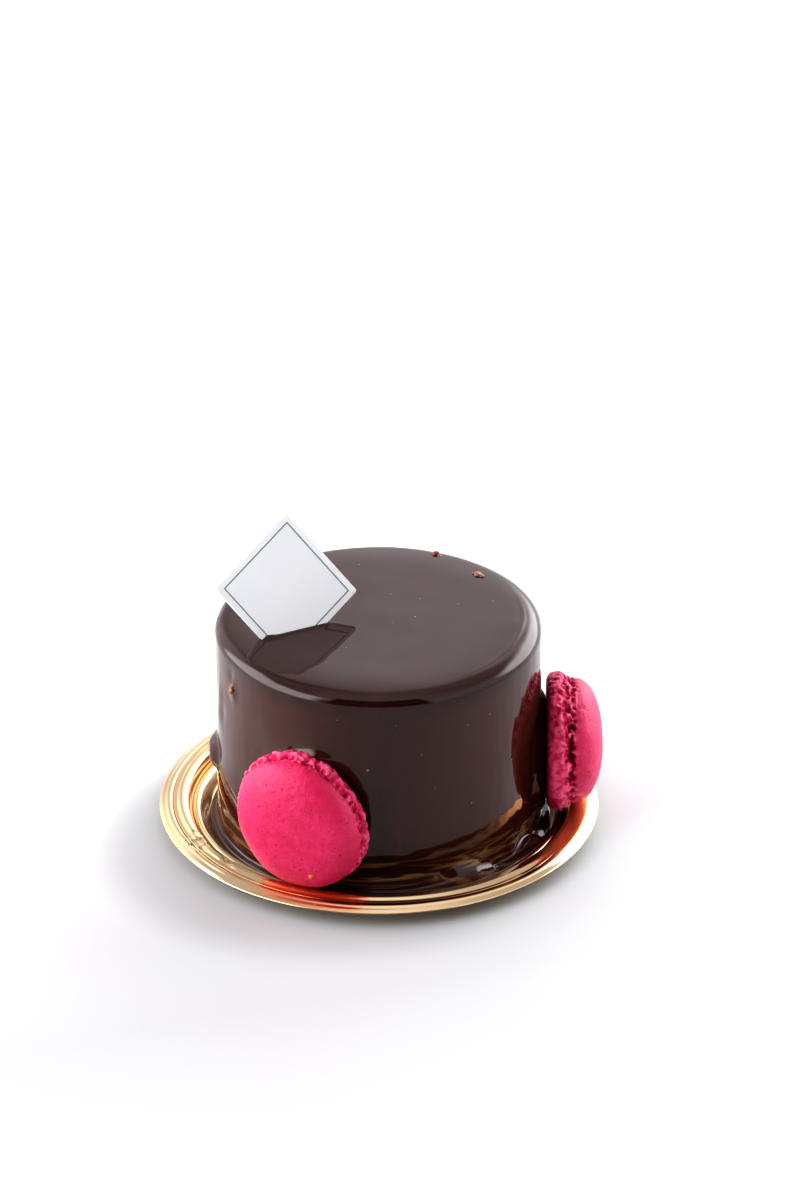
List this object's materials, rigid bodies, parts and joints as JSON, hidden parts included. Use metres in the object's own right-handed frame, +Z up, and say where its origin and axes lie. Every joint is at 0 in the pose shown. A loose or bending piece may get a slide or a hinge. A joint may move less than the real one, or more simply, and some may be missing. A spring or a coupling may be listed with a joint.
{
  "type": "entremet",
  "caption": "Individual round chocolate-glazed entremet cake on a ringed gold foil portion tray, with pink macaron shells set against its side and a thin square plaque in the top.",
  "frame": {"origin": "centre of the tray's flat underside", "axes": "+Z up; -Y is the cake's front, where the plaque faces and the front macaron shell sits; +X is to the right, towards the macaron shell seen edge-on"},
  "size_m": [0.1006, 0.1, 0.0745],
  "materials": {
    "gold_foil": "card pressed into rings and faced with mirror-bright gold foil",
    "chocolate_glaze": "dark chocolate mirror glaze, wet gloss",
    "macaron_pink": "raspberry-pink baked meringue, matt dome with fine pores and a ruffled foot",
    "plaque_white": "thin white plaque, satin, with a fine grey border line",
    "nut_crumb": "small roasted nut crumbs and fine specks in the glaze"
  },
  "bodies": {
    "root": {"foil_tray": "gold_foil", "glazed_cake": "chocolate_glaze", "macaron_front": "macaron_pink", "macaron_right": "macaron_pink", "plaque": "plaque_white"}
  },
  "joints": []
}
